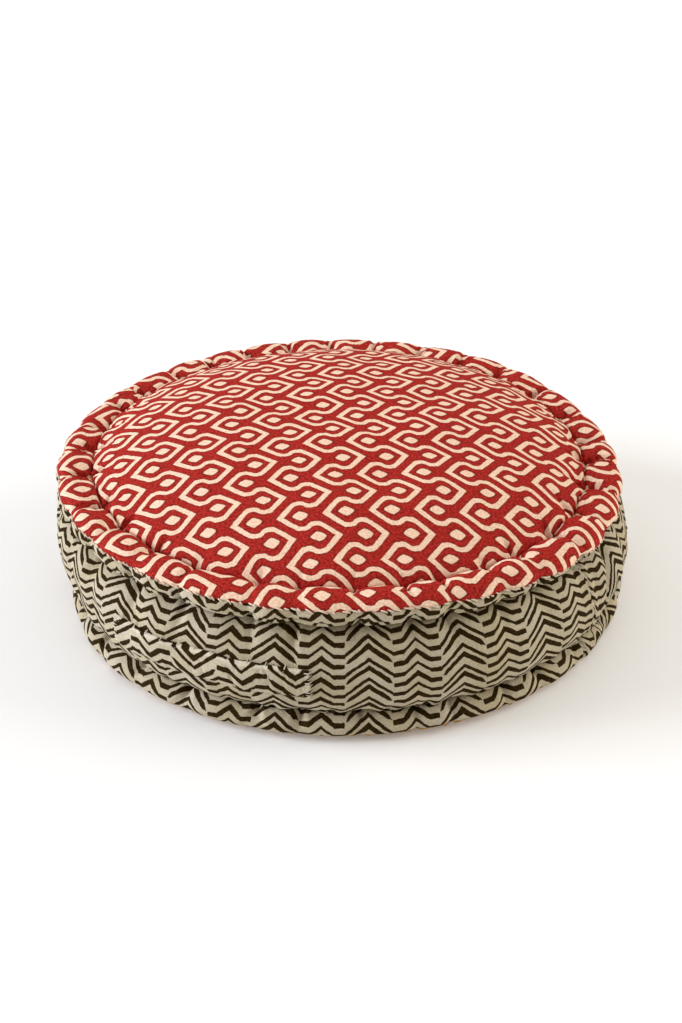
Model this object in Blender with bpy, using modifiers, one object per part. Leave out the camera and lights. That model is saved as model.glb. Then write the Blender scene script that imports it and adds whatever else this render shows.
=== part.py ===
"""Round meditation cushion.

A stuffed cotton cushion, sewn like a mattress: a round top panel, a side band,
a round bottom panel and a handle strip. Both edges are drawn into a roll by
stitches, about a hand's width apart. Metres, +Z up. The origin is on the floor
below the middle of the band, and the side with the handle faces -Y.

Each piece is turned evenly about the vertical axis, with one column of points
at every third of the way from stitch to stitch. Then every point is moved to
where the stitches, the folds and the lean of the real cushion put it.
"""
import math

import bmesh
import bpy
from mathutils import Matrix, Vector

# Driving dimensions, in metres
RIM_HEIGHT = 0.134          # height of the ring from which the crown rises
CROWN_RISE = 0.049          # rise of the crown above that ring
CROWN_RADIUS = 0.2585       # where the crown ends, beside the stitched groove
GROOVE = (0.2595, 0.1315)   # the stitched groove: radius, height
ROLL_HALF_WIDTH = 0.0175
ROLL_HALF_HEIGHT = 0.013
TOP_ROLL_RADIUS = 0.2775    # middle of the top roll
TOP_ROLL_HEIGHT = 0.127
FOOT_ROLL_RADIUS = 0.2830   # middle of the bottom roll
BAND_RADIUS = 0.3045        # the band where it bulges most
BAND_MIDDLE = 0.062         # and the height of that place
UPPER_CREASE = (0.2845, 0.1125)     # radius, height
LOWER_CREASE = (0.2880, 0.0245)
CLOTH = 0.002               # thickness of the sewn-on panels
GAP = 0.0003                # between pieces that touch
HANDLE_THICKNESS = 0.0024
HANDLE_TOP = 0.0795
HANDLE_FOOT = 0.0525
HANDLE_MIDDLE = (HANDLE_TOP + HANDLE_FOOT) / 2

# Shape of the crown and of the band: powers in their formulas
CROWN_POWER = 2.6
CROWN_SHOULDER = 0.75
BAND_FULLNESS = 2.1

# Where the section has its rings of points: radii on the crown, heights on the
# band, and degrees round a roll, from its highest point towards the outside
CROWN_RINGS = (0.0, 0.075, 0.135, 0.182, 0.214, 0.236, 0.250)
ROLL_RINGS = (-40, -8, 22, 44)
EDGE_SEAM = 62
UNDER_ROLL_RINGS = (90, 118, 142)
BAND_RINGS = (0.105, 0.093, HANDLE_TOP, HANDLE_MIDDLE, HANDLE_FOOT, 0.040, 0.031)
FOOT_ROLL_RINGS = (42, 75, 105)
FOOT_SEAM = 131
FLOOR_RINGS = (155, 180)
SEAM_GAP = math.degrees(GAP / ROLL_HALF_WIDTH)

# The stitches that form the rolls, in degrees anticlockwise from +X
STITCHES = (5, 18, 32, 46, 57, 69, 81, 92, 103, 114, 125, 135, 148, 157, 168, 179,
            191, 206, 216, 229, 240, 254, 262, 273, 283, 290, 301, 309, 321, 332, 344, 356)
COLUMNS_PER_STITCH = 3
COLUMNS = COLUMNS_PER_STITCH * len(STITCHES)
HANDLE_START = 58           # column at the handle's left end
HANDLE_COLUMNS = 12

# How far the stitches draw the cloth in
GROOVE_PULL = 0.0075
CREASE_PULL = 0.006
ROLL_PULL = 0.003
FOOT_PULL = 0.005
PULL_REACH = 0.017          # how far from a stitch its pull is felt
GATHER = 0.0035             # depth of the gathers that hang from the upper crease
GATHER_FALL = 0.035         # the height in which they fade

# The cushion leans: where the middles of the rim and of the foot lie
RIM_SHIFT = Vector((-0.005, 0.0035, 0.0))
FOOT_SHIFT = Vector((-0.0005, -0.0060, 0.0))

# Folds pressed into the band: from one angle and height to another
FOLDS = (
    # name, angle, height, end_angle, end_height, half_width, depth
    ("left_pleat", 214, 0.112, 218, 0.062, 0.012, 0.0045),
    ("left_back_pleat", 204, 0.108, 209, 0.066, 0.012, 0.0045),
    ("left_slanting", 200, 0.076, 221, 0.034, 0.011, 0.0060),
    ("handle_end", 227, 0.046, 243, 0.033, 0.011, 0.0055),
    ("handle_pleat", 229, 0.112, 230, 0.086, 0.012, 0.0045),
    ("right_pleat", 323, 0.112, 325, 0.048, 0.013, 0.0050),
    ("right_side_pleat", 336, 0.114, 338, 0.052, 0.012, 0.0040),
    ("right_back_pleat", 350, 0.112, 349, 0.060, 0.012, 0.0035),
)


def roll_point(radius, height, degrees):
    """A point on a roll's oval section."""
    turn = math.radians(degrees)
    return (radius + ROLL_HALF_WIDTH * math.sin(turn),
            height + ROLL_HALF_HEIGHT * math.cos(turn))


def top_roll(degrees):
    return roll_point(TOP_ROLL_RADIUS, TOP_ROLL_HEIGHT, degrees)


def foot_roll(degrees):
    return roll_point(FOOT_ROLL_RADIUS, ROLL_HALF_HEIGHT, degrees)


def crown_point(radius):
    share = 1.0 - (radius / CROWN_RADIUS) ** CROWN_POWER
    return (radius, RIM_HEIGHT + CROWN_RISE * max(share, 0.0) ** CROWN_SHOULDER)


def band_point(height):
    """A point of the full side between the two creases."""
    crease = UPPER_CREASE if height > BAND_MIDDLE else LOWER_CREASE
    share = abs(height - BAND_MIDDLE) / abs(crease[1] - BAND_MIDDLE)
    fullness = max(1.0 - share ** BAND_FULLNESS, 0.0) ** (1.0 / BAND_FULLNESS)
    return (crease[0] + (BAND_RADIUS - crease[0]) * fullness, height)


def top_rows(last):
    """The top panel's section, from the middle to an angle on the roll."""
    rows = [crown_point(radius) for radius in CROWN_RINGS]
    rows.append(GROOVE)
    rows += [top_roll(degrees) for degrees in (*ROLL_RINGS, last)]
    return rows


def side_rows():
    """The band's section, from the edge seam down to the foot seam."""
    rows = [top_roll(degrees) for degrees in (EDGE_SEAM, *UNDER_ROLL_RINGS)]
    rows.append(UPPER_CREASE)
    rows += [band_point(height) for height in BAND_RINGS]
    rows.append(LOWER_CREASE)
    rows += [foot_roll(degrees) for degrees in (*FOOT_ROLL_RINGS, FOOT_SEAM)]
    return rows


def foot_rows(first):
    """The bottom panel's section, from an angle on the bottom roll to the middle."""
    rows = [foot_roll(degrees) for degrees in (first, *FLOOR_RINGS)]
    rows.append((0.0, 0.0))
    return rows


def outward(rows, index):
    """Unit vector out of the cushion at one row of its section."""
    before = Vector(rows[max(index - 1, 0)])
    after = Vector(rows[min(index + 1, len(rows) - 1)])
    along = (after - before).normalized()
    normal = Vector((-along.y, along.x))
    if rows[index][0] == 0.0:
        normal = Vector((0.0, math.copysign(1.0, normal.y)))
    return normal


def offset(rows, distance):
    """The section moved out of the cushion by a distance, or into it if negative."""
    moved = []
    for index, row in enumerate(rows):
        moved.append(tuple(Vector(row) + distance * outward(rows, index)))
    return moved


def nearness(radius, height, place, reach):
    """1 at a place of the section, falling to 0 beyond the reach."""
    squared = (radius - place[0]) ** 2 + (height - place[1]) ** 2
    return math.exp(-squared / reach ** 2)


def fold_depth(degrees, height):
    """How deep the pressed folds are at one place of the band."""
    depth = 0.0
    for name, angle, top, end_angle, end, half_width, deepest in FOLDS:
        start = Vector((math.radians(degrees - angle) * BAND_RADIUS, height - top))
        line = Vector((math.radians(end_angle - angle) * BAND_RADIUS, end - top))
        share = min(max(start.dot(line) / line.length_squared, 0.0), 1.0)
        distance = (start - share * line).length
        depth += deepest * math.exp(-(distance / half_width) ** 2)
    return depth


def stitched_angle(column):
    """The true angle of a column, and 1 there at a stitch down to 0 midway."""
    place = column / COLUMNS_PER_STITCH
    index = int(place)
    share = place - index
    start = STITCHES[index % len(STITCHES)]
    end = STITCHES[(index + 1) % len(STITCHES)]
    span = (end - start) % 360
    return start + share * span, 1.0 - math.sin(math.pi * share)


def lean(height):
    """How far the lean of the cushion carries a point of this height."""
    if height > BAND_MIDDLE:
        share = min((height - BAND_MIDDLE) / (UPPER_CREASE[1] - BAND_MIDDLE), 1.0)
        return share * RIM_SHIFT
    share = min((BAND_MIDDLE - height) / (BAND_MIDDLE - LOWER_CREASE[1]), 1.0)
    return share * FOOT_SHIFT


def settle(point):
    """Where a point of the evenly turned cushion lies once it is sewn and full."""
    radius = math.hypot(point.x, point.y)
    height = point.z
    column = math.degrees(math.atan2(point.y, point.x)) % 360 / 360 * COLUMNS
    degrees, pull = stitched_angle(round(column, 3))
    turn = math.radians(degrees)
    top_edge = (TOP_ROLL_RADIUS + ROLL_HALF_WIDTH, TOP_ROLL_HEIGHT)
    inward = CREASE_PULL * nearness(radius, height, UPPER_CREASE, PULL_REACH)
    inward += ROLL_PULL * nearness(radius, height, top_edge, PULL_REACH)
    inward += FOOT_PULL * nearness(radius, height, LOWER_CREASE, PULL_REACH)
    if height < UPPER_CREASE[1]:
        inward += GATHER * math.exp((height - UPPER_CREASE[1]) / GATHER_FALL)
    inward *= pull
    down = pull * GROOVE_PULL * nearness(radius, height, GROOVE, PULL_REACH)
    if LOWER_CREASE[1] < height < top_edge[1] and radius > UPPER_CREASE[0] - PULL_REACH:
        share = (height - LOWER_CREASE[1]) * (top_edge[1] - height)
        share /= ((top_edge[1] - LOWER_CREASE[1]) / 2) ** 2
        inward += fold_depth(degrees, height) * math.sqrt(share)
    radius -= min(inward, radius)
    place = Vector((radius * math.cos(turn), radius * math.sin(turn), height - down))
    return place + lean(height)


def cotton(name, colour, roughness):
    material = bpy.data.materials.new(name)
    material.use_nodes = True
    material.diffuse_color = (*colour, 1.0)
    shader = material.node_tree.nodes["Principled BSDF"]
    shader.inputs["Base Color"].default_value = (*colour, 1.0)
    shader.inputs["Roughness"].default_value = roughness
    shader.inputs["Metallic"].default_value = 0.0
    return material


def turned(name, rows, collection, closed=False, columns=COLUMNS, start=0):
    """Turn a section about the vertical axis and settle it into its true shape."""
    mesh = bpy.data.meshes.new(name + "_section")
    edges = [(index, index + 1) for index in range(len(rows) - 1)]
    if closed:
        edges.append((len(rows) - 1, 0))
    mesh.from_pydata([(radius, 0.0, height) for radius, height in rows], edges, [])
    section = bpy.data.objects.new(name + "_section", mesh)
    collection.objects.link(section)
    screw = section.modifiers.new("turn", "SCREW")
    screw.angle = math.tau * columns / COLUMNS
    screw.steps = columns
    screw.render_steps = columns
    screw.use_merge_vertices = columns == COLUMNS
    screw.merge_threshold = 0.00005
    graph = bpy.context.evaluated_depsgraph_get()
    solid_mesh = bpy.data.meshes.new_from_object(section.evaluated_get(graph))
    bpy.data.objects.remove(section)
    solid_mesh.transform(Matrix.Rotation(math.tau * start / COLUMNS, 4, "Z"))
    for vertex in solid_mesh.vertices:
        vertex.co = settle(vertex.co)
    shape = bmesh.new()
    shape.from_mesh(solid_mesh)
    open_edges = [edge for edge in shape.edges if edge.is_boundary]
    bmesh.ops.holes_fill(shape, edges=open_edges)
    bmesh.ops.recalc_face_normals(shape, faces=shape.faces)
    bmesh.ops.triangulate(shape, faces=shape.faces, quad_method="SHORT_EDGE")
    shape.to_mesh(solid_mesh)
    shape.free()
    solid_mesh.name = name
    solid_mesh.shade_smooth()
    solid_mesh.set_sharp_from_angle(angle=math.radians(50))
    solid = bpy.data.objects.new(name, solid_mesh)
    collection.objects.link(solid)
    return solid


def make_cushion(collection):
    """The stuffed body, whose side is the band; the panels lie in its recesses."""
    recess = -(CLOTH + GAP)
    rows = offset(top_rows(EDGE_SEAM), recess)
    rows += side_rows()
    rows += offset(foot_rows(FOOT_SEAM), recess)
    cushion = turned("cushion", rows, collection)
    cushion.data.materials.append(cotton("chevron_cotton", (0.40, 0.35, 0.26), 0.9))
    return cushion


def make_top_panel(collection):
    rows = top_rows(EDGE_SEAM - SEAM_GAP)
    rows += reversed(offset(rows, -CLOTH))
    panel = turned("top_panel", rows, collection)
    panel.data.materials.append(cotton("printed_red_cotton", (0.50, 0.06, 0.05), 0.85))
    return panel


def make_bottom_panel(collection):
    rows = foot_rows(FOOT_SEAM + SEAM_GAP)
    rows = list(reversed(offset(rows, -CLOTH))) + rows
    panel = turned("bottom_panel", rows, collection)
    panel.data.materials.append(cotton("plain_ochre_cotton", (0.55, 0.36, 0.10), 0.9))
    return panel


def make_handle(collection):
    """The strip of band cloth sewn flat on the front left of the band."""
    base = [band_point(height) for height in (HANDLE_TOP, HANDLE_MIDDLE, HANDLE_FOOT)]
    rows = offset(base, GAP + HANDLE_THICKNESS)
    rows += reversed(offset(base, GAP))
    handle = turned("handle", rows, collection, closed=True,
                    columns=HANDLE_COLUMNS, start=HANDLE_START)
    handle.data.materials.append(cotton("handle_cotton", (0.38, 0.33, 0.25), 0.9))
    return handle


def main():
    for item in list(bpy.data.objects):
        bpy.data.objects.remove(item, do_unlink=True)
    collection = bpy.data.collections.new("round_meditation_cushion")
    bpy.context.scene.collection.children.link(collection)
    make_cushion(collection)
    make_top_panel(collection)
    make_bottom_panel(collection)
    make_handle(collection)


main()
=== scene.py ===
"""Looks of the round meditation cushion.

The cushion is sewn like a small mattress: a round of printed red cotton on top, a side
band of chevron cotton, a round of plain ochre cotton below and a short handle strip of
the chevron cotton. Stitches about 55 mm apart draw both edges into a roll. Here each
cloth is a fine mesh that takes its main sizes from the same section as the solids, with
the puffs, gathers and creases that the stitches make. The prints are charted in cloth
coordinates, in millimetres along the cloth, so they bend and crowd as the cloth does.
Metres, +Z up, origin on the floor below the middle of the band.
"""
import math

import bmesh
import bpy
import numpy as np
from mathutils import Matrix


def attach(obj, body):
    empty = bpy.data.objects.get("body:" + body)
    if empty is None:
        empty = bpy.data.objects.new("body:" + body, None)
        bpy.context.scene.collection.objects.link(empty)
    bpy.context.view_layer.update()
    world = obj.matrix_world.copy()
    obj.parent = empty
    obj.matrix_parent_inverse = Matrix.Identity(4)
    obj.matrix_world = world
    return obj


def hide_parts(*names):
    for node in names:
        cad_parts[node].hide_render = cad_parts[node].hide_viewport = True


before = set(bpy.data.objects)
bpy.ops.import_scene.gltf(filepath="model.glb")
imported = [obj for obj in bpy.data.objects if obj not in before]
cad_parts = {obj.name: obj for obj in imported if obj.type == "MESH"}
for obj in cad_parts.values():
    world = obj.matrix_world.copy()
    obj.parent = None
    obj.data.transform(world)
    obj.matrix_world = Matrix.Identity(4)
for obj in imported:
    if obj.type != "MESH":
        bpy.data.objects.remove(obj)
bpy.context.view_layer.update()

# Main sizes, as the solids have them
RIM_HEIGHT = 0.134
CROWN_RISE = 0.049
CROWN_RADIUS = 0.2585
CROWN_POWER = 2.6
CROWN_SHOULDER = 0.75
GROOVE = (0.2597, 0.1297)  # radius, height of the stitched groove
ROLL_HALF_WIDTH = 0.0175
ROLL_HALF_HEIGHT = 0.013
TOP_ROLL = (0.2775, 0.127)  # middle of the top roll's section
FOOT_ROLL = (0.2830, 0.013)  # middle of the bottom roll's section
BAND_RADIUS = 0.3045
BAND_MIDDLE = 0.062
BAND_FULLNESS = 2.1
UPPER_CREASE = (0.2805, 0.1108)
LOWER_CREASE = (0.2845, 0.0262)
EDGE_SEAM = 62  # degrees round the top roll, from its highest point
FOOT_SEAM = 131
HANDLE_TOP = 0.0795
HANDLE_FOOT = 0.0525
HANDLE_ANGLES = (-134.6, -95.6)
RIM_SHIFT = np.array((-0.005, 0.0035, 0.0))
FOOT_SHIFT = np.array((-0.0005, -0.0060, 0.0))
STITCHES = (5, 18, 32, 46, 57, 69, 81, 92, 103, 114, 125, 135, 148, 157, 168, 179,
            191, 206, 216, 229, 240, 254, 262, 273, 283, 290, 301, 309, 321, 332, 344, 356)
STITCH_MARKS = np.array((STITCHES[-1] - 360, *STITCHES, STITCHES[0] + 360), float)
BAND_JOIN = -37.2  # degrees; where the two ends of the band are sewn

# How far the stitches draw the cloth in, and how far their pull reaches
GROOVE_PULL = 0.0075
CREASE_PULL = 0.006
ROLL_PULL = 0.0024
FOOT_PULL = 0.005
PULL_REACH = 0.017
GATHER = 0.0024
GATHER_FALL = 0.035
PUFF = 0.0012  # swelling of a roll midway between two stitches
FOOT_PUFF = 0.0010
SCALLOP = 0.0016  # how far the roll leans over the groove there
BRIDGE = 0.0066  # how much higher the groove lies midway between two
FRONT_LIFT = 0.0030  # how much higher the top roll stands in front

# Folds pressed into the band
FOLDS = (
    # angle, height, end_angle, end_height, half_width, depth
    (214, 0.112, 218, 0.062, 0.012, 0.0020),
    (203, 0.108, 207, 0.066, 0.010, 0.0026),
    (204, 0.066, 221, 0.036, 0.009, 0.0032),
    (229, 0.112, 230, 0.086, 0.012, 0.0024),
    (325, 0.112, 326, 0.060, 0.010, 0.0030),
    (335, 0.117, 329, 0.045, 0.0075, 0.0075),
    (343, 0.114, 341, 0.052, 0.012, 0.0030),
    (354, 0.112, 352, 0.060, 0.012, 0.0030),
)

# Where the filled shape is not even all round
EASES = (
    # angle, half_angle, height, half_height, radius_change, height_change
    (-30, 32, 0.128, 0.022, 0.0030, -0.0040),  # top roll, front right: out and down
    (22, 20, 0.125, 0.030, -0.0045, 0.0),  # top roll, back right: drawn in
    (54, 15, 0.125, 0.030, 0.0035, 0.0),  # top roll, back right of the middle: fuller
    (128, 24, 0.125, 0.030, -0.0026, 0.0),  # top roll, back left: drawn in
    (-7, 16, 0.095, 0.040, -0.0030, 0.0),  # band, right: less full
    (206, 18, 0.046, 0.020, -0.0030, 0.0),  # band, front left: less full
    (195, 16, 0.010, 0.024, -0.0075, 0.0),  # foot, left: drawn under
    (-42, 34, 0.020, 0.030, -0.0015, 0.0),  # foot, front right: drawn under
)

# Where the print has sagged on the band, for the pull of the handle and the filling
PRINT_SAG = (
    # angle, millimetres down
    (-180, 8.0), (-140, 13.0), (-117, 13.0), (-101, 6.5), (-85, 5.7), (-60, 4.0),
    (-36.9, 3.6), (-33.4, 24.0), (-31.2, 12.0), (-29.2, 26.0), (-26.0, 4.0),
    (0, 2.0), (100, 6.0), (180, 8.0),
)

GATHERED_ROWS = 0.008  # cloth taken up by small puckers down the band

# Where the print is pushed along the band, towards its join
PRINT_PUSH = (
    # degrees round the band from the join, millimetres on
    (0, 0.0), (295, 0.0), (315, -2.2), (323, -0.8), (332, -0.5), (341, 3.0), (347, 5.5),
    (360, 8.0),
)

# Creases that fan out from each stitch
CREASES = {
    # seed, number at a stitch, spread, depth, width, and how far they reach, as a share
    "roll": (11, (4, 7), 0.012, (0.0012, 0.0030), 0.0015, (0.40, 1.05)),
    "crown": (12, (3, 6), 0.012, (0.0008, 0.0019), 0.0016, (0.25, 0.9)),
    "under_roll": (21, (2, 5), 0.012, (0.0008, 0.0022), 0.0022, (0.5, 1.2)),
    "band": (22, (3, 6), 0.016, (0.0006, 0.0022), 0.0030, (0.3, 1.2)),
    "band_foot": (23, (2, 5), 0.018, (0.0006, 0.0018), 0.0035, (0.3, 1.1)),
    "foot_roll": (24, (2, 5), 0.014, (0.0007, 0.0020), 0.0028, (0.5, 1.2)),
    "floor_side": (31, (3, 6), 0.016, (0.0005, 0.0016), 0.0024, (0.3, 1.1)),
}

# Fineness of the meshes, and how thick the cloths are drawn
COLUMNS = 1152  # columns round the edge, where the creases are
TOP_THICKNESS = 0.0016
BOTTOM_THICKNESS = 0.0012
FILLING_INSET = (0.0028, 0.0050)  # under the top panel: everywhere, and more at the rim
FOOT_INSET = 0.0026
MILLIMETRE = 0.001


def bell(value, width):
    """1 where the value is 0, falling away on both sides."""
    return np.exp(-(value / width) ** 2)


def turned_from(middle, degrees):
    """How many degrees an angle lies beyond the middle, from -180 to 180."""
    return (degrees - middle + 180.0) % 360.0 - 180.0


def nearness(radius, height, place, reach):
    """1 at a place of the section, falling to 0 beyond the reach."""
    squared = (radius - place[0]) ** 2 + (height - place[1]) ** 2
    return np.exp(-squared / reach ** 2)


def smooth_step(low, high, value):
    share = np.clip((value - low) / (high - low), 0.0, 1.0)
    return share * share * (3.0 - 2.0 * share)


def stitch_count(degrees):
    """Stitches passed at an angle: whole at each stitch and even in between."""
    return np.interp(np.mod(degrees, 360.0), STITCH_MARKS, np.arange(len(STITCH_MARKS)))


def pull_at(degrees):
    """1 at a stitch, falling to 0 midway to the next."""
    return 1.0 - np.sin(np.pi * (stitch_count(degrees) % 1.0))


def pinch_at(degrees, reach):
    """1 at a stitch, falling to 0 within the reach, in metres round the rim."""
    nearest = np.min([np.abs(turned_from(stitch, degrees)) for stitch in STITCHES], axis=0)
    return bell(np.radians(nearest) * TOP_ROLL[0], reach)


def in_front(degrees):
    """1 in the middle of the front, falling to 0 at the sides."""
    return np.exp(-(turned_from(-90.0, degrees) / 55.0) ** 4)


def unevenness(points, wavelength, seed):
    """Soft seeded unevenness of a surface, between about -1 and 1."""
    draw = np.random.default_rng(seed)
    total = np.zeros(points.shape[:-1])
    waves = 9
    for wave in range(waves):
        direction = draw.normal(size=3)
        direction /= np.linalg.norm(direction)
        length = wavelength * draw.uniform(0.7, 1.5)
        total += np.sin(points @ direction * math.tau / length + draw.uniform(0, math.tau))
    return total / math.sqrt(waves)


def fan_of_creases(where, degrees, share, radius):
    """Depth of the creases that fan out from each stitch; share is 0 at the stitches."""
    seed, number, spread, depth, width, reach = CREASES[where]
    draw = np.random.default_rng(seed)
    valley = np.zeros(np.broadcast(degrees, share).shape)
    for stitch in STITCHES:
        away = np.radians(turned_from(stitch, degrees)) * radius
        for crease in range(draw.integers(*number)):
            start = draw.normal(0.0, 0.0016)
            end = draw.uniform(-spread, spread)
            long = draw.uniform(*reach)
            deep = draw.uniform(*depth)
            middle = start + (end - start) * share / long
            fade = np.clip(1.0 - share / long, 0.0, 1.0) ** 0.8
            fade = fade * smooth_step(-0.25, 0.05, share)
            across = (away - middle) / (width * (1.0 + np.clip(share, 0.0, 1.5)))
            valley += deep * fade * (bell(across, 1.0) - 0.35 * bell(np.abs(across) - 2.0, 1.0))
    return valley


def fold_depth(degrees, height):
    """How deep the pressed folds are at a place of the band."""
    depth = np.zeros(np.broadcast(degrees, height).shape)
    for angle, top, end_angle, end, half_width, deepest in FOLDS:
        across = np.radians(turned_from(angle, degrees)) * BAND_RADIUS
        down = height - top
        line = np.array((math.radians(end_angle - angle) * BAND_RADIUS, end - top))
        share = np.clip((across * line[0] + down * line[1]) / (line @ line), 0.0, 1.0)
        distance = np.hypot(across - share * line[0], down - share * line[1])
        sharp = bell(distance, 0.45 * half_width)
        depth += deepest * (0.65 * bell(distance, half_width) + 0.45 * sharp)
    return depth


def edge_seam(degrees):
    """Where the edge seam lies round the top roll; to the right it has slipped down."""
    turn = np.radians(degrees)
    uneven = 2.4 * np.sin(turn * 163.0) * np.sin(turn * 37.0)
    return EDGE_SEAM + uneven + 38.0 * bell(turned_from(-28.0, degrees), 32.0)


def foot_seam(degrees):
    """Where the foot seam lies round the bottom roll; in front it is drawn up."""
    return FOOT_SEAM - 13.0 * bell(turned_from(-72.0, degrees), 20.0)


def settle(degrees, radius, height):
    """Where points of the evenly turned cushion lie once it is sewn and full."""
    pull = pull_at(degrees)
    for angle, half_angle, level, half_height, wider, higher in EASES:
        away = turned_from(angle, degrees)
        share = np.exp(-(away / half_angle) ** 2 - ((height - level) / half_height) ** 2)
        share = share * smooth_step(0.19, 0.26, radius)
        radius, height = radius + wider * share, height + higher * share
    top_edge = (TOP_ROLL[0] + ROLL_HALF_WIDTH, TOP_ROLL[1])
    inward = CREASE_PULL * nearness(radius, height, UPPER_CREASE, PULL_REACH)
    inward += ROLL_PULL * nearness(radius, height, top_edge, PULL_REACH)
    inward += FOOT_PULL * nearness(radius, height, LOWER_CREASE, PULL_REACH)
    hang = np.clip(height - UPPER_CREASE[1], None, 0.0)
    inward += np.where(hang < 0.0, GATHER * np.exp(hang / GATHER_FALL), 0.0)
    inward = inward * pull
    low, high = LOWER_CREASE[1], top_edge[1]
    share = (height - low) * (high - height) / ((high - low) / 2) ** 2
    on_band = (share > 0.0) & (radius > UPPER_CREASE[0] - PULL_REACH)
    folds = fold_depth(degrees, height) * np.sqrt(np.clip(share, 0.0, None))
    inward += np.where(on_band, folds, 0.0)
    down = pull * GROOVE_PULL * nearness(radius, height, GROOVE, PULL_REACH)
    down = down * (1.0 - 0.55 * in_front(degrees))
    turn = np.radians(degrees)
    radius = np.maximum(radius - inward, 0.0)
    upper = np.clip((height - BAND_MIDDLE) / (UPPER_CREASE[1] - BAND_MIDDLE), 0.0, 1.0)
    lower = np.clip((BAND_MIDDLE - height) / (BAND_MIDDLE - LOWER_CREASE[1]), 0.0, 1.0)
    place = np.stack((radius * np.cos(turn), radius * np.sin(turn), height - down), -1)
    return place + upper[..., None] * RIM_SHIFT + lower[..., None] * FOOT_SHIFT


def outward(radius, height):
    """Unit normals out of the cushion along sections; rows run from the top down."""
    along_radius = np.gradient(radius, axis=0)
    along_height = np.gradient(height, axis=0)
    length = np.hypot(along_radius, along_height) + 1e-9
    return -along_height / length, along_radius / length


def puffed(degrees, radius, height, swell):
    """Points of sections that swell out of the cushion, sewn and full."""
    normal_radius, normal_height = outward(radius, height)
    return settle(degrees, radius + normal_radius * swell, height + normal_height * swell)


def cloth_length(radius, height):
    """Distance along sections from their first row."""
    steps = np.hypot(np.diff(radius, axis=0), np.diff(height, axis=0))
    return np.concatenate((np.zeros((1,) + radius.shape[1:]), np.cumsum(steps, axis=0)))


def repeated(values, columns):
    """Rows that hold one value each, the same in every column."""
    return values[:, None] * np.ones((1, columns))


def crown_rows(radii):
    share = np.clip(1.0 - (radii / CROWN_RADIUS) ** CROWN_POWER, 0.0, None)
    return radii, RIM_HEIGHT + CROWN_RISE * share ** CROWN_SHOULDER


def roll_rows(middle, degrees):
    turn = np.radians(degrees)
    return (middle[0] + ROLL_HALF_WIDTH * np.sin(turn),
            middle[1] + ROLL_HALF_HEIGHT * np.cos(turn))


def band_rows(heights):
    crease_radius = np.where(heights > BAND_MIDDLE, UPPER_CREASE[0], LOWER_CREASE[0])
    crease_height = np.where(heights > BAND_MIDDLE, UPPER_CREASE[1], LOWER_CREASE[1])
    share = np.abs(heights - BAND_MIDDLE) / np.abs(crease_height - BAND_MIDDLE)
    fullness = np.clip(1.0 - share ** BAND_FULLNESS, 0.0, None) ** (1 / BAND_FULLNESS)
    return crease_radius + (BAND_RADIUS - crease_radius) * fullness, heights


def put(name, data):
    """A new object in the scene."""
    made = bpy.data.objects.new(name, data)
    bpy.context.scene.collection.objects.link(made)
    return made


def finished(name, mesh, material):
    mesh.shade_smooth()
    mesh.materials.append(material)
    return put(name, mesh)


class Cloth:
    """A mesh made ring by ring, each corner with its place on the flat cloth."""

    def __init__(self):
        self.points = []
        self.faces = []
        self.places = []
        self.count = 0

    def ring(self, points, places):
        """points: one for each column; places: one more, for where the ring closes."""
        first = self.count
        self.points.append(points)
        self.count += len(points)
        return first, len(points), places

    def join(self, upper, lower):
        """Faces between two rings of like columns, or with half or twice as many."""
        first, many, places = upper
        second, few, other_places = lower
        step = np.arange(min(many, few))
        if many == few:
            after = (step + 1) % many
            self.add_faces(
                (first + step, second + step, second + after, first + after),
                (places[step], other_places[step], other_places[step + 1], places[step + 1]))
            return
        if many < few:
            first, many, places, second, few, other_places = (
                second, few, other_places, first, many, places)
        near, middle, far = 2 * step, 2 * step + 1, (2 * step + 2) % many
        after = (step + 1) % few
        self.add_faces((first + near, second + step, first + middle),
                       (places[near], other_places[step], places[middle]))
        self.add_faces(
            (first + middle, second + step, second + after, first + far),
            (places[middle], other_places[step], other_places[step + 1], places[near + 2]))

    def add_faces(self, corners, places):
        self.faces += np.stack(corners, 1).tolist()
        self.places.append(np.stack(places, 1).reshape(-1, 2))

    def close(self, ring, point, place):
        """A fan of triangles from a ring to one point."""
        first, many, places = ring
        centre = self.count
        self.points.append(np.array([point]))
        self.count += 1
        step = np.arange(many)
        middle = np.tile(np.array(place, float), (many, 1))
        self.add_faces((first + step, np.full(many, centre), first + (step + 1) % many),
                       (places[step], middle, places[step + 1]))

    def make(self, name, material):
        mesh = bpy.data.meshes.new(name)
        mesh.from_pydata(np.concatenate(self.points).tolist(), [], self.faces)
        layer = mesh.uv_layers.new(name="cloth")
        layer.data.foreach_set("uv", np.concatenate(self.places).ravel())
        shape = bmesh.new()
        shape.from_mesh(mesh)
        bmesh.ops.recalc_face_normals(shape, faces=shape.faces)
        shape.to_mesh(mesh)
        shape.free()
        return finished(name, mesh, material)


def steps_down(rows):
    """Even steps from 0 to 1, one for each row."""
    return np.linspace(0.0, 1.0, rows)[:, None]


def column_angles(columns, start=0.0):
    return start + 360.0 * np.arange(columns + 1) / columns


# The top panel
SEAM_DIP = 0.0011  # how deep the cloth turns in at a seam
SEAM_REACH = 0.0018  # and how far from it
PLAIN_RADIUS = 0.235  # up to here the print lies as on the flat cloth
GATHERED = 0.20  # share of the cloth's edge that the stitches draw in
ROLL_START = -84.0  # degrees round the roll where the groove's wall ends
PINCH = (0.0050, 0.0028)  # at a stitch, on the roll: half its width, depth
SLIT = (0.0022, 0.0048, 0.0044)  # half its width, depth on the roll and on the crown
NIP = (0.0035, 0.0022)  # at a stitch, on the crown: half its width, depth


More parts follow.
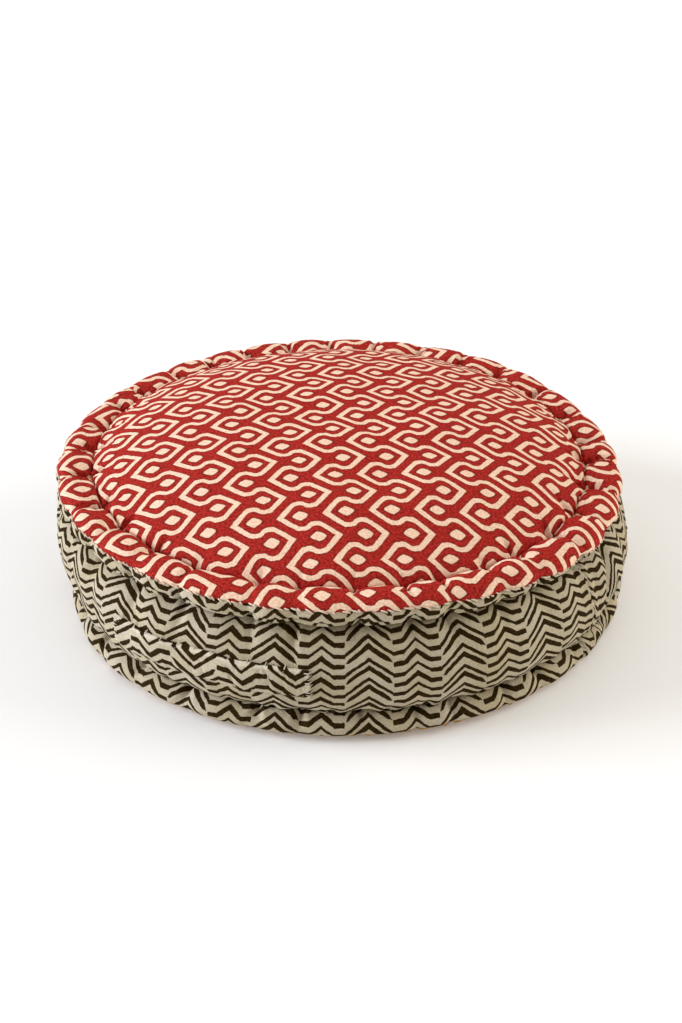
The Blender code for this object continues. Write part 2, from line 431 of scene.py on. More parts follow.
def top_section(degrees):
    """Rows and columns of radius, height, place round the roll and cloth distance."""
    inner = np.concatenate((np.linspace(0.004, 0.05, 10), np.linspace(0.054, 0.108, 14),
                            np.linspace(0.112, 0.205, 24)))
    outer = CROWN_RADIUS * (1.0 - (1.0 - np.linspace(0.0, 1.0, 24)) ** 1.7
                            * (1.0 - 0.2085 / CROWN_RADIUS))
    radius, height = crown_rows(np.concatenate((inner, outer)))
    radius = np.concatenate((radius, (0.2588, 0.2592, GROOVE[0])))
    height = np.concatenate((height, (0.1322, 0.1306, GROOVE[1])))
    turns = ROLL_START + steps_down(28) * (edge_seam(degrees) - 0.6 - ROLL_START)
    over_radius, over_height = roll_rows(TOP_ROLL, turns)
    crown, columns = len(radius), len(degrees)
    radius = np.concatenate((repeated(radius, columns), over_radius))
    height = np.concatenate((repeated(height, columns), over_height))
    turns = np.concatenate((np.full((crown, columns), np.nan), turns))
    distance = cloth_length(radius, height) + radius[0]
    plain = np.interp(PLAIN_RADIUS, radius[:crown, 0], distance[:crown, 0])
    distance = np.where(radius < PLAIN_RADIUS, radius, distance - plain + PLAIN_RADIUS)
    return radius, height, turns, distance


def top_points(degrees, inset, rim_inset=0.0):
    """Rows of points of the top panel, or of a layer that lies inset under it."""
    radius, height, turns, _ = top_section(degrees)
    normal_radius, normal_height = outward(radius, height)
    on_roll = ~np.isnan(turns)
    round_roll = np.nan_to_num(turns, nan=ROLL_START)
    share = (round_roll - ROLL_START) / (edge_seam(degrees) - ROLL_START)
    from_groove = radius - GROOVE[0]
    pinch = pinch_at(degrees, PINCH[0])
    puff = np.sqrt(np.clip(1.0 - pull_at(degrees), 0.0, 1.0))
    calm = in_front(degrees)
    # the roll swells between the stitches and is tied down at them
    swell = np.where(on_roll, PUFF * (1.5 - 0.5 * calm) * puff
                     * smooth_step(0.0, 0.25, share), 0.0)
    slit = pinch_at(degrees, SLIT[0]) * (1.3 - calm)
    tied = (PINCH[1] * pinch + SLIT[1] * slit) * (1.0 - share) ** 2
    swell -= np.where(on_roll, tied, 0.0)
    creases = fan_of_creases("roll", degrees, share, TOP_ROLL[0])
    crown_creases = fan_of_creases("crown", degrees, (CROWN_RADIUS - radius) / 0.035,
                                   CROWN_RADIUS)
    swell -= np.where(on_roll, (2.0 - 1.4 * calm) * creases,
                      (2.2 - 1.95 * calm) * crown_creases)
    dip = smooth_step(0.94, 1.0, share)
    swell = swell - SEAM_DIP * dip ** 2 - inset * (1.0 + 0.8 * pinch)
    swell -= rim_inset * smooth_step(0.19, 0.24, radius) * (1.0 - dip)
    # between the stitches the roll leans over the groove
    lean = SCALLOP * (1.8 - 0.8 * calm) * puff * bell(from_groove, 0.010)
    moved_radius = radius + normal_radius * swell - lean
    moved_height = height + normal_height * swell
    # and at the sides and the back the groove is less deep there
    moved_height += BRIDGE * (1.0 - calm) * puff * bell(from_groove, 0.0072)
    rise = np.where(on_roll, 1.0 - smooth_step(0.35, 0.95, share),
                    smooth_step(0.225, CROWN_RADIUS, radius))
    moved_height += FRONT_LIFT * calm * rise
    # at each stitch the crown's edge is nipped down
    nipped = NIP[1] * pinch_at(degrees, NIP[0]) * bell(from_groove, 0.007) * (1.0 - 0.7 * calm)
    nipped += SLIT[2] * slit * bell(from_groove, 0.013)
    points = settle(degrees, moved_radius, moved_height - np.where(on_roll, 0.0, nipped))
    soft = smooth_step(0.0, 0.03, CROWN_RADIUS - radius)
    points[..., 2] += 0.0009 * soft * unevenness(points, 0.085, 5)
    points[..., 2] += 0.0004 * unevenness(points, 0.028, 6)
    return points


def add_rings(cloth, points, places, columns, closed=None):
    """Rings from rows of points, each kept at its own number of columns.

    closed says which end, 0 or -1, is filled with a fan of triangles.
    """
    rings = []
    for row, many in enumerate(columns):
        step = len(points[row]) // many
        rings.append(cloth.ring(points[row][::step], places[row][::step]))
    for upper, lower in zip(rings, rings[1:]):
        cloth.join(upper, lower)
    if closed is not None:
        cloth.close(rings[closed], points[closed].mean(axis=0), (0.0, 0.0))
    return rings


def crown_columns(radius):
    """How many columns a ring of the crown needs."""
    return np.select((radius < 0.02, radius < 0.05, radius < 0.108, radius < 0.207),
                     (COLUMNS // 16, COLUMNS // 8, COLUMNS // 4, COLUMNS // 2), COLUMNS)


def around(values):
    """Rows with their first column once more at the end, where the cloth closes."""
    return np.concatenate((values, values[:, :1]), 1)


def plan_places(distance, angles):
    turn = np.radians(angles)
    return np.stack((distance * np.cos(turn), distance * np.sin(turn)), -1)


def gathered(angles, distance):
    """Angles on the flat cloth: more of the cloth's edge is drawn in at each stitch."""
    place = stitch_count(angles)
    nearest = np.round(place).astype(int)
    away = place - nearest
    spacing = np.diff(STITCH_MARKS)[nearest - (away <= 0)]
    drawn = 0.5 * np.tanh(away / 0.10) / math.tanh(5.0) - away
    share = smooth_step(PLAIN_RADIUS, 0.262, distance)
    return angles + GATHERED * (1.0 - 0.6 * in_front(angles)) * spacing * drawn * share


def make_top_panel(material):
    cloth = Cloth()
    angles = column_angles(COLUMNS)
    radius, _, _, distance = top_section(angles[:-1])
    distance = around(distance)
    places = plan_places(distance, gathered(angles[None, :], distance))
    many = crown_columns(radius[:, 0])
    outer = add_rings(cloth, top_points(angles[:-1], 0.0), places, many, closed=0)
    keep = np.r_[5, 16, 30:48:7, 52:72:4, 74, 77:102:3, 102]
    inner = add_rings(cloth, top_points(angles[:-1], TOP_THICKNESS)[keep], places[keep],
                      np.minimum(many[keep], COLUMNS // 2), closed=0)
    cloth.join(outer[-1], inner[-1])
    return cloth.make("top_panel_cloth", material)


# The band and the filling that it holds
def side_section(degrees):
    """The band's section from the edge seam down to the foot seam."""
    seam = edge_seam(degrees) + 0.6
    roll_radius, roll_height = roll_rows(TOP_ROLL, seam + steps_down(28) * (164.0 - seam))
    down = np.concatenate((np.linspace(0.0, 0.2, 8)[1:], np.linspace(0.2, 0.8, 16)[1:],
                           np.linspace(0.8, 1.0, 9)[1:-1]))
    heights = UPPER_CREASE[1] + (LOWER_CREASE[1] - UPPER_CREASE[1]) * (
        0.5 - 0.5 * np.cos(np.pi * down))
    heights = np.concatenate(((UPPER_CREASE[1],), heights, (LOWER_CREASE[1],)))
    side_radius, side_height = (repeated(row, len(degrees)) for row in band_rows(heights))
    foot_radius, foot_height = roll_rows(
        FOOT_ROLL, 24.0 + steps_down(17) * (foot_seam(degrees) - 0.6 - 24.0))
    return (np.concatenate((roll_radius, side_radius, foot_radius)),
            np.concatenate((roll_height, side_height, foot_height)))


def under_tuck(degrees, radius, height):
    """The small tuck that the stitches pull up along the underside of the top roll."""
    turn = np.degrees(np.arctan2((radius - TOP_ROLL[0]) / ROLL_HALF_WIDTH,
                                 (height - TOP_ROLL[1]) / ROLL_HALF_HEIGHT))
    wave = np.radians(degrees)
    line = 131.0 - 9.0 * pull_at(degrees) + 4.0 * np.sin(wave * 23.0) * np.sin(wave * 7.0)
    lip = 0.0014 * bell(turn - line, 7.0)
    return lip - 0.0019 * bell(turn - line + 14.0, 5.0)


def side_points(degrees, radius, height, lift=0.0, fine=1.0):
    """Rows of points of the band, stitched, gathered and folded."""
    puff = np.sqrt(np.clip(1.0 - pull_at(degrees), 0.0, 1.0))
    upper, lower = UPPER_CREASE[1], LOWER_CREASE[1]
    above, below = height > upper, height < lower
    under_roll = (TOP_ROLL[1] + 0.005 - height) / 0.018
    swell = np.where(above, PUFF * puff * smooth_step(1.1, 0.2, under_roll), 0.0)
    swell += fine * np.where(above, under_tuck(degrees, radius, height), 0)
    swell += np.where(below, FOOT_PUFF * puff, 0.0)
    on_roll = fan_of_creases("under_roll", degrees, np.clip(1.0 - under_roll, 0.0, 1.0),
                             TOP_ROLL[0])
    on_band = fan_of_creases("band", degrees, (upper - height) / 0.040, BAND_RADIUS)
    from_foot = fan_of_creases("band_foot", degrees + 5.0, (height - lower) / 0.028,
                               BAND_RADIUS)
    on_foot = fan_of_creases("foot_roll", degrees, (lower - height) / 0.024, FOOT_ROLL[0])
    creases = np.where(above, on_roll,
                       np.where(below, on_foot, 0.55 * on_band + 0.7 * from_foot))
    # the lower crease is sharp, with a lip on both sides
    to_crease = np.hypot(radius - LOWER_CREASE[0], height - LOWER_CREASE[1])
    swell -= 0.0024 * fine * bell(to_crease, 0.0020)
    swell += 0.0012 * fine * bell(to_crease - 0.0045, 0.0016)
    swell -= fine * creases
    # the join is a narrow slit between its two turned edges
    join = np.radians(turned_from(BAND_JOIN, degrees)) * BAND_RADIUS
    ridge = bell(np.abs(join) - 0.004, 0.0025)
    swell += fine * (0.0010 * ridge - 0.0024 * bell(join, 0.0016))
    for row in (0, -1):
        gap = np.hypot(height - height[row], radius - radius[row])
        swell -= fine * SEAM_DIP * bell(gap, SEAM_REACH)
    points = puffed(degrees, radius, height, swell + lift)
    middle = np.clip((height - lower) * (upper - height), 0.0, None)
    middle = np.sqrt(middle) / ((upper - lower) / 2)
    bumps = 0.0012 * unevenness(points, 0.075, 7) + 0.0006 * unevenness(points, 0.030, 8)
    turn = np.radians(degrees)
    points[..., 0] += bumps * middle * np.cos(turn)
    points[..., 1] += bumps * middle * np.sin(turn)
    return points


def round_band(points, angles):
    """Distance round the band from its join, one more than the points in each row."""
    even = angles[:-1]
    turned = turned_from(even, np.degrees(np.arctan2(points[..., 1], points[..., 0])))
    turned = around(turned + even - BAND_JOIN)
    turned[:, -1] += 360.0
    push = np.interp(turned, *np.array(PRINT_PUSH).T) * MILLIMETRE
    return np.radians(turned) * BAND_RADIUS - push


def edge_start(degrees):
    """How far down the band's cloth the edge seam lies, where it has slipped."""
    return np.radians(edge_seam(degrees) - EDGE_SEAM) * 0.0155


def print_sag(degrees):
    return np.interp(turned_from(0.0, degrees), *np.array(PRINT_SAG).T) * MILLIMETRE


def make_band(material):
    """The band with its filling, as one closed piece; its ends meet at the join."""
    cloth = Cloth()
    angles = column_angles(COLUMNS, BAND_JOIN)
    radius, height = side_section(angles[:-1])
    points = side_points(angles[:-1], radius, height)
    crowded = GATHERED_ROWS * np.clip((UPPER_CREASE[1] - height) / 0.08, 0.0, 1.0)
    down = around(cloth_length(radius, height) + crowded)
    down = down + edge_start(angles) - print_sag(angles)
    places = np.stack((round_band(points, angles), down), -1)
    side = add_rings(cloth, points, places, np.full(len(radius), COLUMNS))
    # the filling, out of sight under the two panels
    keep = np.r_[10, 30, 44, 57, 64, 68, 71, 74, 76, 79, 83, 88, 93, 98, 102]
    hidden_places = np.zeros((len(keep), COLUMNS + 1, 2))
    filling = add_rings(cloth, top_points(angles[:-1], *FILLING_INSET)[keep], hidden_places,
                        np.where(keep < 60, COLUMNS // 4, COLUMNS // 2), closed=0)
    cloth.join(filling[-1], side[0])
    rows = foot_points(angles[:-1], FOOT_INSET)
    keep = np.r_[0, 4, 9, 14, 20, len(rows) - 1]
    below = add_rings(cloth, rows[keep], hidden_places[:len(keep)],
                      COLUMNS // np.array((2, 2, 4, 4, 8, 16)), closed=-1)
    cloth.join(side[-1], below[0])
    return cloth.make("band_cloth", material)


# The bottom panel
def foot_section(degrees):
    """The bottom panel's section, from the foot seam to the middle of the floor side."""
    seam = foot_seam(degrees) + 0.6
    roll_radius, roll_height = roll_rows(FOOT_ROLL, seam + steps_down(12) * (180.0 - seam))
    floor = np.concatenate((np.linspace(0.276, 0.20, 8), np.linspace(0.185, 0.02, 9)))
    floor = repeated(floor, len(degrees))
    return (np.concatenate((roll_radius, floor)),
            np.concatenate((roll_height, np.zeros(floor.shape))))


def foot_points(degrees, inset):
    radius, height = foot_section(degrees)
    share = (FOOT_ROLL[0] + 0.014 - radius) / 0.045
    creases = fan_of_creases("floor_side", degrees, share, FOOT_ROLL[0])
    seam = np.hypot(height - height[0], radius - radius[0])
    swell = -creases - SEAM_DIP * bell(seam, SEAM_REACH) - inset
    points = puffed(degrees, radius, height, swell)
    bumps = 0.5 + 0.5 * unevenness(points, 0.06, 9)
    away = smooth_step(0.0, 0.05, FOOT_ROLL[0] - radius)
    lifted = points[..., 2] + 0.0012 * away * np.clip(bumps, 0.0, 1.0)
    points[..., 2] = np.maximum(lifted, inset)
    return points


def make_bottom_panel(material):
    cloth = Cloth()
    columns = COLUMNS // 2
    angles = column_angles(columns)
    radius, height = foot_section(angles[:-1])
    distance = cloth_length(radius, height)
    places = plan_places(around(distance[-1] + 0.02 - distance), angles)
    many = np.select((radius[:, 0] > 0.19, radius[:, 0] > 0.09),
                     (columns, columns // 2), columns // 4)
    outer, inner = (add_rings(cloth, foot_points(angles[:-1], inset), places, many, closed=-1)
                    for inset in (0.0, BOTTOM_THICKNESS))
    cloth.join(outer[0], inner[0])
    return cloth.make("bottom_panel_cloth", material)


# The handle strip
HANDLE_THICKNESS = 0.0030
HANDLE_STEPS = 200
HANDLE_SLACK = 0.92  # cloth along the strip for the arc that it spans


def handle_layers():
    """Rows of points of the strip's front and back, from its top edge down."""
    angles = np.linspace(*HANDLE_ANGLES, HANDLE_STEPS)
    heights = np.linspace(HANDLE_TOP + 0.0005, HANDLE_FOOT - 0.0005, 19)
    radius, height = (repeated(row, HANDLE_STEPS) for row in band_rows(heights))
    across = np.linspace(-1.0, 1.0, len(heights))[:, None]
    share = np.linspace(0.0, 1.0, HANDLE_STEPS)
    loose = np.sqrt(np.clip(np.sin(np.pi * share), 0.0, 1.0))
    edge = np.sqrt(np.clip(1.0 - np.abs(across) ** 10, 0.0, 1.0))
    belly = (0.0010 + 0.0022 * loose) * (1.0 - across ** 2) ** 0.8
    ripple = fan_ripples(share, across)
    rolled_edge = 0.0010 * bell(across + 0.88, 0.10)
    front = side_points(angles, radius, height,
                        HANDLE_THICKNESS * edge + belly + ripple + rolled_edge + 0.0010, 0.2)
    back = side_points(angles, radius, height, 0.0008, 0.2)
    turn = np.radians(angles)
    drop = 0.0010 * np.sin(turn * 9.0) + 0.0006 * np.sin(turn * 31.0)
    for layer in (front, back):
        layer[..., 2] += drop
    return angles, radius, height, front, back


def make_handle(material):
    """A folded strip sewn on at its ends: its long edges are turned under."""
    angles, radius, height, front, back = handle_layers()
    length = np.radians(angles - angles[0]) * BAND_RADIUS * HANDLE_SLACK
    down = cloth_length(radius[:, 0], height[:, 0])
    cloth = Cloth()
    loop = np.concatenate((front, back[::-1]))
    places = np.stack(np.broadcast_arrays(
        length[None, :], np.concatenate((down, down[::-1]))[:, None]), -1)
    places = np.concatenate((places, places[:1])).swapaxes(0, 1)
    rings = add_rings(cloth, loop.swapaxes(0, 1), places, np.full(HANDLE_STEPS, len(loop)))
    for end in (0, -1):
        cloth.close(rings[end], loop[:, end].mean(axis=0), rings[end][2][0])
    return cloth.make("handle_strip", material)


def fan_ripples(share, across):
    """Small creases that run slantwise over the strip from its sewn ends."""
    draw = np.random.default_rng(41)
    height = np.zeros(np.broadcast(share, across).shape)
    for _ in range(26):
        start, slant = draw.uniform(0.0, 1.0), draw.uniform(-0.05, 0.05)
        width, deep = draw.uniform(0.006, 0.012), draw.uniform(0.0003, 0.0010)
        middle, tall = draw.uniform(-0.8, 0.8), draw.uniform(0.3, 0.9)
        along = (share - start - slant * across) / width
        height -= deep * np.exp(-along ** 2 - ((across - middle) / tall) ** 2)
    # where the right end is gathered
    for start in np.linspace(0.895, 0.985, 6):
        along = (share - start + 0.028 * across) / 0.006
        middle = draw.uniform(-0.4, 0.6)
        height -= 0.0009 * np.exp(-along ** 2 - ((across - middle) / 0.6) ** 2)
    lip = bell(across - 0.72, 0.09)
    return height - 0.0011 * lip * (0.4 + 0.6 * np.sin(share * 21.0) ** 2)


# Threads
def thread_mesh(name, paths, thread, material):
    """One mesh of many short threads, each a small tube along its own points."""
    radius, sides = thread
    turns = math.tau * np.arange(sides)[:, None] / sides
    points, faces = [], []
    for path in paths:
        path = np.asarray(path)
        along = np.gradient(path, axis=0)
        along /= np.linalg.norm(along, axis=1)[:, None]
        lift = np.cross(along, (0.0, 0.0, 1.0) if abs(along[0][2]) < 0.9 else (1.0, 0, 0))
        lift /= np.linalg.norm(lift, axis=1)[:, None]
        other = np.cross(along, lift)
        taper = radius * np.sin(np.linspace(0.18, 0.82, len(path)) * math.pi) ** 0.5
        tube = np.cos(turns) * lift[:, None] + np.sin(turns) * other[:, None]
        first = len(points)
        points += (path[:, None] + taper[:, None, None] * tube).reshape(-1, 3).tolist()
        last = len(points) - sides
        for start in range(first, last, sides):
            for side in range(sides):
                after = (side + 1) % sides
                faces.append((start + side, start + after,
                              start + sides + after, start + sides + side))
        faces.append(tuple(reversed(range(first, first + sides))))
        faces.append(tuple(range(last, last + sides)))
    mesh = bpy.data.meshes.new(name)
    mesh.from_pydata(points, [], faces)
    return finished(name, mesh, material)


# Radius and sides of the threads; one shows about 1 mm thick
THREAD = (0.00052, 5)
EDGE_THREAD = (0.00080, 5)  # several strands and the edge's own frayed threads
STITCH_PITCH = 0.0066  # between the stitches of the edge seam
STITCH_REACH = 0.0032  # how far the handle's stitches reach past its edges
END_REACH = 0.26  # and past its ends, in degrees


def out_of_roll(degrees):
    """Unit vectors out of the top roll at its edge seam."""
    turn, lean = np.radians(degrees), np.radians(edge_seam(degrees))
    return np.stack((np.cos(turn) * np.sin(lean), np.sin(turn) * np.sin(lean),
                     np.cos(lean)), -1)


def make_edge_stitches(material):
    """Whip stitches over the raw edge of the top panel, slanting and uneven."""
    draw = np.random.default_rng(51)
    count = int(math.tau * (TOP_ROLL[0] + 0.015) / STITCH_PITCH)
    angles = 360.0 * (np.arange(count) + draw.uniform(-0.3, 0.3, count)) / count
    slant = draw.uniform(0.3, 1.7, count)
    down = draw.uniform(-0.3, 1.5, count)[:, None]
    kept = draw.uniform(size=count) > 0.18
    upper = top_points(angles, -0.0005)
    after = angles + slant
    lower = side_points(after, *side_section(after), 0.0005)
    out = out_of_roll(angles)
    middle = (upper[-1] + lower[0]) / 2 + 0.0009 * out
    start = (upper[-2] + upper[-1]) / 2
    paths = np.stack((start - 0.0010 * out, 0.6 * start + 0.4 * middle + 0.0003 * out, middle,
                      (middle + lower[1]) / 2,
                      lower[1] + down * (lower[2] - lower[1]) - 0.0012 * out), 1)
    return thread_mesh("edge_stitches", paths[kept], EDGE_THREAD, material)


def make_join_stitches(material):
    """Small uneven stitches over the join of the band."""
    angles = BAND_JOIN + np.array((-0.44, -0.22, 0.0, 0.22, 0.44))
    points = side_points(angles, *side_section(angles), 0.0006)
    out = np.array((math.cos(math.radians(BAND_JOIN)), math.sin(math.radians(BAND_JOIN)), 0))
    paths = []
    for row in range(16, len(points) - 6, 3):
        paths.append((points[row - 1, 0] - 0.0010 * out, points[row - 1, 1],
                      points[row, 2] + 0.0014 * out, points[row, 3],
                      points[row + 1, 4] - 0.0010 * out))
    return thread_mesh("join_stitches", paths, THREAD, material)


def make_handle_stitches(material):
    """Whip stitches over the edges of the handle strip, closest at its ends."""
    angles, radius, height, front, _ = handle_layers()
    paths = []
    for level, edge, inward, first, pitch in ((HANDLE_TOP + STITCH_REACH, 0, 1, 7, 17),
                                              (HANDLE_FOOT - STITCH_REACH, -1, -1, 5, 11)):
        rows = [repeated(row, HANDLE_STEPS)
                for row in band_rows(level + np.array((0.002, 0.0, -0.002)))]
        beside = side_points(angles, *rows, -0.0002, 0.2)[1]
        for step in range(first, HANDLE_STEPS - 6, pitch):
            middle = (front[edge, step + 1] + front[edge + inward, step + 1]) / 2
            paths.append((front[edge + 2 * inward, step], middle, beside[step + 2]))
    for end, inside, beyond in ((0, 4, -END_REACH), (-1, -5, END_REACH)):
        place = np.array((HANDLE_ANGLES[end] + beyond,))
        outer = side_points(place, radius[:, :1], height[:, :1], 0.0, 0.2)[:, 0]
        for row in range(1, len(front) - 2, 2):
            paths.append((front[row, inside], front[row, end] * 0.9 + front[row, inside] * 0.1,
                          outer[row + 1]))
    return thread_mesh("handle_stitches", paths, THREAD, material)


# Colours and finishes
def linear(code):
    """An sRGB hex colour as the linear values that a shader takes."""
    values = [int(code[place:place + 2], 16) / 255 for place in (1, 3, 5)]
    return (*[value / 12.92 if value <= 0.04045 else ((value + 0.055) / 1.055) ** 2.4
              for value in values], 1.0)


def add(tree, kind, values=(), **settings):
    """Adds a node with its settings and links; gives its first output."""
    made = tree.nodes.new("ShaderNode" + kind)
    for name, value in settings.items():
        setattr(made, name, value)
    pairs = values.items() if isinstance(values, dict) else enumerate(values)
    for name, value in pairs:
        if isinstance(value, bpy.types.NodeSocket):
            tree.links.new(value, made.inputs[name])
        elif value is not None:
            made.inputs[name].default_value = value
    return made.outputs[0]


def calc(tree, operation, *values):
    return add(tree, "Math", values, operation=operation)


def vector(tree, operation, *values):
    return add(tree, "VectorMath", values, operation=operation)


def scaled(tree, place, factor):
    return vector(tree, "SCALE", place, None, None, factor)


def noise(tree, place, scale, detail, roughness=0.5):
    return add(tree, "TexNoise", {"Vector": place, "Scale": scale, "Detail": detail,
                                  "Roughness": roughness})


def ramp(tree, value, low, high, start=0.0, end=1.0):
    """Goes from start to end while the value goes from low to high."""
    return add(tree, "MapRange", (value, low, high, start, end))


def charted(tree, along, chart):
    """A Float Curve that runs straight from point to point of the chart."""
    curve = add(tree, "FloatCurve", {"Value": along})
    mapping = curve.node.mapping
    mapping.use_clip = False
    points = mapping.curves[0].points
    while len(points) < len(chart):
        points.new(0.5, 0.5)
    for point, place in zip(points, chart):
        point.location = place
        point.handle_type = "VECTOR"
    mapping.update()
    return curve


def mixed(tree, share, *colours):
    """The first colour where share is 0 and the second where it is 1."""
    one, other = (linear(colour) if isinstance(colour, str) else colour for colour in colours)
    return add(tree, "Mix", {0: share, 6: one, 7: other}, data_type="RGBA").node.outputs[2]


def set_inputs(node, values):
    for name, value in values.items():
        node.inputs[name].default_value = value


def new_cotton(name, roughness, sheen):
    material = bpy.data.materials.new(name)
    material.use_nodes = True
    shader = material.node_tree.nodes["Principled BSDF"]
    set_inputs(shader, {"Roughness": roughness, "IOR": 1.46, "Specular IOR Level": 0.10,
                        "Sheen Weight": sheen, "Sheen Roughness": 0.45})
    return material, material.node_tree, shader


def cloth_place(tree):
    """The place on the flat cloth, in millimetres."""
    return scaled(tree, add(tree, "UVMap", uv_map="cloth"), 1000.0)


def wobbled(tree, place, scale, detail, reach):
    """The place shifted a little, so that the print's edges aren't straight."""
    wobble = noise(tree, place, scale, detail).node.outputs["Color"]
    wobble = vector(tree, "SUBTRACT", wobble, (0.5, 0.5, 0.5))
    return vector(tree, "ADD", place, scaled(tree, wobble, reach))


def grained(tree, place, scale, depth, value):
    """The value made rough, as ink is at the edge of a print."""
    grain = calc(tree, "ADD", noise(tree, place, scale, 2.0), -0.5)
    return calc(tree, "MULTIPLY_ADD", grain, depth, value)


# The cottons have about 12 threads in a centimetre. One shows only if it is about as
# wide as a pixel, so the weave is drawn with a thread every 1.3 mm.
THREAD_PITCH = 1.3


def weave_height(tree, place):
    """Height of a plain weave with slubs, about 0 to 1."""
    apart = add(tree, "SeparateXYZ", (place,)).node
    waves = [calc(tree, "SINE", calc(tree, "MULTIPLY", apart.outputs[name],
                                     math.pi / THREAD_PITCH)) for name in ("X", "Y")]
    weave = calc(tree, "MULTIPLY_ADD", calc(tree, "MULTIPLY", *waves), 0.18, 0.2)
    return calc(tree, "MULTIPLY_ADD", noise(tree, place, 0.55, 3.0, 0.7), 0.9, weave)


def speckled(tree, place):
    """Uneven take-up of dye and ink, 0 to 1, about as fine as two pixels."""
    return ramp(tree, noise(tree, place, 0.42, 3.0, 0.85), 0.39, 0.61)


def finish_cotton(tree, shader, colour, height, depth):
    """Gives the shader its colour, and its relief as deep as said, in metres."""
    tree.links.new(colour, shader.inputs["Base Color"])
    bump = add(tree, "Bump", {"Strength": 1.0, "Distance": depth, "Height": height})
    tree.links.new(bump, shader.inputs["Normal"])


# The print of the top panel, charted in its own repeat. One repeat is REPEAT_ACROSS by
# REPEAT_DOWN millimetres; a cream line runs from a left tip over two bends to a right
# tip half a repeat further down, mirrored at both, and eyes lie in its bends.
REPEAT_ACROSS = 43.2
REPEAT_DOWN = 56.6
TURN_ACROSS = 5.69  # degrees from +X
TURN_DOWN = 10.46  # degrees from -Y
EYE_PLACE = (39.8, -118.8)  # one left eye, from the middle of the rim
LEFT_EYE = 0.0  # in repeats from the left eye
RIGHT_EYE = 0.29
LINE_WIDTH = 5.3
MEANDER = (
    # across and down, in repeats
    (-0.52, -0.068), (-0.44, 0.0), (-0.16, 0.236), (-0.09, 0.282), (0.02, 0.297),
    (0.09, 0.284), (0.20, 0.216), (0.27, 0.203), (0.38, 0.218), (0.45, 0.264),
    (0.73, 0.500), (0.85, 0.602),
)
CHART_START, CHART_SPAN = -0.52, 1.37
CHART_LIFT = 0.2  # keeps the chart's values above 0
EYE_HALF = (7.3, 5.9)


def repeat_vectors():
    """What a place in millimetres is multiplied with to count repeats."""
    turn, down = math.radians(TURN_ACROSS), math.radians(TURN_DOWN)
    across = np.array((math.cos(turn), math.sin(turn))) * REPEAT_ACROSS
    below = np.array((math.sin(down), -math.cos(down))) * REPEAT_DOWN
    return np.linalg.inv(np.stack((across, below), 1))


def meander_widths():
    """Half the line's width straight down, which grows where the line is steep."""
    places = []
    for before, after in zip(MEANDER, MEANDER[1:]):
        run = (after[0] - before[0]) * REPEAT_ACROSS
        fall = (after[1] - before[1]) * REPEAT_DOWN
        width = LINE_WIDTH / 2 / REPEAT_DOWN * math.hypot(run, fall) / run
        places.append(((before[0] + after[0]) / 2, width))
    return [(MEANDER[0][0], places[0][1]), *places, (MEANDER[-1][0], places[-1][1])]


def printed_top_cotton():
    """Red cotton, screen printed over a cream ground: matt, with a dry broken edge."""
    material, tree, shader = new_cotton("printed_red_cotton", 0.93, 0.0)
    place = cloth_place(tree)
    start = vector(tree, "SUBTRACT", wobbled(tree, place, 0.22, 2.0, 1.5), (*EYE_PLACE, 0.0))
    across, down = (vector(tree, "DOT_PRODUCT", start, (*row, 0.0)).node.outputs["Value"]
                    for row in repeat_vectors())
    across = calc(tree, "ADD", across, LEFT_EYE - CHART_START)
    across = calc(tree, "ADD", calc(tree, "WRAP", across, 1.0, 0.0), CHART_START)
    folded = calc(tree, "PINGPONG", down, 0.5)
    # every gap is 1 at the edge of the cream
    gaps = []
    for copy in (0.0, 1.0):
        along = calc(tree, "ADD", across, copy - CHART_START)
        along = calc(tree, "DIVIDE", along, CHART_SPAN)
        line = charted(tree, along, [((x - CHART_START) / CHART_SPAN, y + CHART_LIFT)
                                     for x, y in MEANDER])
        half = charted(tree, along, [((x - CHART_START) / CHART_SPAN, y)
                                     for x, y in meander_widths()])
        away = calc(tree, "SUBTRACT", calc(tree, "ADD", folded, CHART_LIFT), line)
        away = calc(tree, "DIVIDE", calc(tree, "ABSOLUTE", away), half)
        beyond = calc(tree, "GREATER_THAN", along, 1.0)
        gaps.append(calc(tree, "MULTIPLY_ADD", beyond, 9.0, away))
    for eye, level in ((LEFT_EYE, 0.0), (RIGHT_EYE, 0.5)):
        sides = []
        for value, middle, size, power in ((across, eye, REPEAT_ACROSS / EYE_HALF[0], 1.15),
                                           (folded, level, REPEAT_DOWN / EYE_HALF[1], 1.5)):
            side = calc(tree, "ABSOLUTE", calc(tree, "SUBTRACT", value, middle))
            sides.append(calc(tree, "POWER", calc(tree, "MULTIPLY", side, size), power))
        gaps.append(calc(tree, "ADD", *sides))
    nearest = gaps[0]
    for gap in gaps[1:]:
        nearest = calc(tree, "MINIMUM", nearest, gap)
    ragged = grained(tree, place, 0.9, 0.22, nearest)
    cream = ramp(tree, ragged, 0.92, 1.08, 1.0, 0.0)
    edge = ramp(tree, ragged, 1.0, 1.62, 1.0, 0.0)
    soft = noise(tree, place, 0.012, 3.0)
    speckle = speckled(tree, place)
    red = mixed(tree, speckle, "#6d130c", "#d0382f")
    red = mixed(tree, calc(tree, "MULTIPLY", soft, 0.4), red, "#9c1f1a")
    red = mixed(tree, calc(tree, "MULTIPLY", edge, 0.75), red, "#5e1a0a")
    colour = mixed(tree, cream, red, mixed(tree, speckle, "#ecbd9d", "#ffe2c8"))
    finish_cotton(tree, shader, colour, weave_height(tree, place), 0.0005)
    return material


